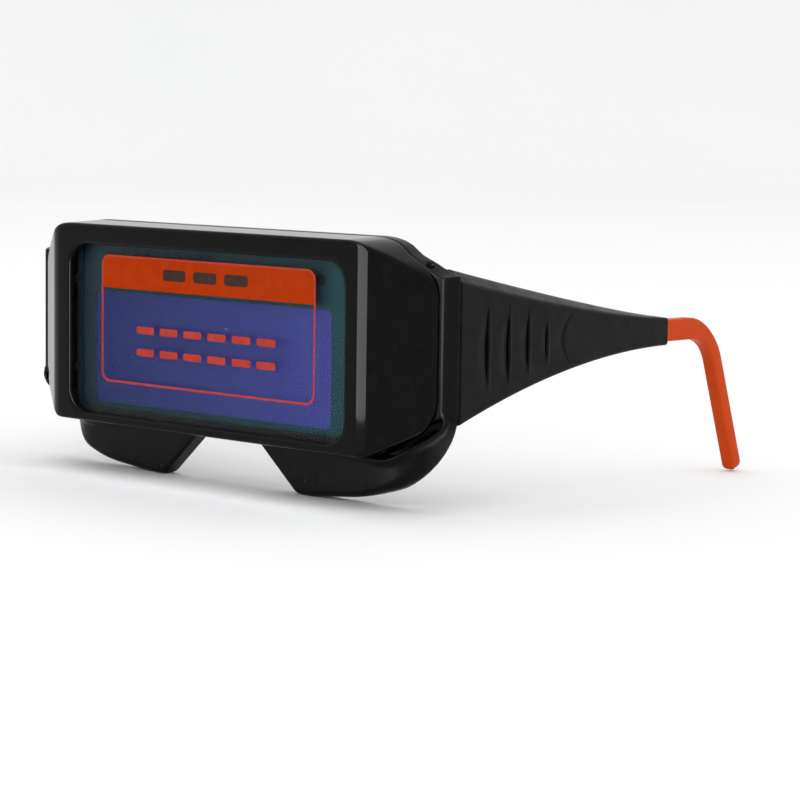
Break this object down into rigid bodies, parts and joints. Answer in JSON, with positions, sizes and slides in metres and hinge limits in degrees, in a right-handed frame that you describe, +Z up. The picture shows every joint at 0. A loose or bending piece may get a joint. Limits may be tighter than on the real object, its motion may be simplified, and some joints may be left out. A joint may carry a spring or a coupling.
{
  "type": "welding goggles",
  "caption": "Auto-darkening welding goggles with a boxy glossy lens housing, cheek shields, folding louvred temples and sliding orange ear tips.",
  "frame": {"origin": "centre of the overall box's underside: the surface that the goggles stand on, open, on their cheek shields and ear tips", "axes": "+Z up, the lens faces -Y, +X is the wearer's left"},
  "size_m": [0.159, 0.1392, 0.0697],
  "materials": {
    "gloss_black": "polished black injection-moulded plastic",
    "satin_black": "satin black moulded plastic",
    "inner_black": "matt black moulded plastic",
    "tip_orange": "satin orange moulded plastic",
    "clear_cover": "clear polycarbonate",
    "filter_glass": "teal coated filter glass",
    "polariser": "blue-violet polarising film",
    "lcd_glass": "liquid crystal cell, blue-violet",
    "film_clear": "thin clear protective film",
    "print_orange": "orange printing on the film",
    "case_teal": "dark green-blue cartridge case",
    "solar": "dark solar cell",
    "board": "green circuit board",
    "sensor_black": "dark light-sensor window",
    "gasket_foam": "black foam gasket",
    "pad_rubber": "soft black silicone",
    "steel": "plated steel",
    "spring_steel": "bright spring steel"
  },
  "bodies": {
    "frame": {"front_housing": "gloss_black", "rear_frame": "satin_black", "cover_lens": "clear_cover", "protective_film": "film_clear", "film_print": "print_orange", "lens_gasket": "gasket_foam", "cartridge_front_case": "case_teal", "uv_ir_filter": "filter_glass", "front_polariser": "polariser", "front_lcd_cell": "lcd_glass", "middle_polariser": "polariser", "rear_lcd_cell": "lcd_glass", "rear_polariser": "polariser", "solar_cell": "solar", "circuit_board": "board", "light_sensors": "sensor_black", "cartridge_rear_case": "inner_black", "inner_cover_lens": "clear_cover", "lens_retainer": "inner_black", "nose_bridge": "inner_black", "nose_pad_left": "pad_rubber", "nose_pad_right": "pad_rubber", "housing_screws": "steel", "endpiece_screws": "steel", "hinge_pin_left": "steel", "hinge_pin_right": "steel"},
    "temple_left": {"temple_shell_left": "satin_black", "temple_cover_left": "satin_black", "temple_screws_left": "steel", "detent_spring_left": "spring_steel"},
    "ear_tip_left": {"ear_tip_left": "tip_orange"},
    "temple_right": {"temple_shell_right": "satin_black", "temple_cover_right": "satin_black", "temple_screws_right": "steel", "detent_spring_right": "spring_steel"},
    "ear_tip_right": {"ear_tip_right": "tip_orange"}
  },
  "joints": [
    {"name": "temple_left_fold", "type": "hinge", "parent": "frame", "child": "temple_left", "pos_m": [0.07, -0.04812, 0.0415], "axis": [0, 0, 1], "range_deg": [0, 93]},
    {"name": "temple_right_fold", "type": "hinge", "parent": "frame", "child": "temple_right", "pos_m": [-0.07, -0.04812, 0.0415], "axis": [0, 0, -1], "range_deg": [0, 87]},
    {"name": "ear_tip_left_slide", "type": "slide", "parent": "temple_left", "child": "ear_tip_left", "axis": [0, 1, 0], "range_m": [-0.004, 0.008]},
    {"name": "ear_tip_right_slide", "type": "slide", "parent": "temple_right", "child": "ear_tip_right", "axis": [0, 1, 0], "range_m": [-0.004, 0.008]}
  ]
}
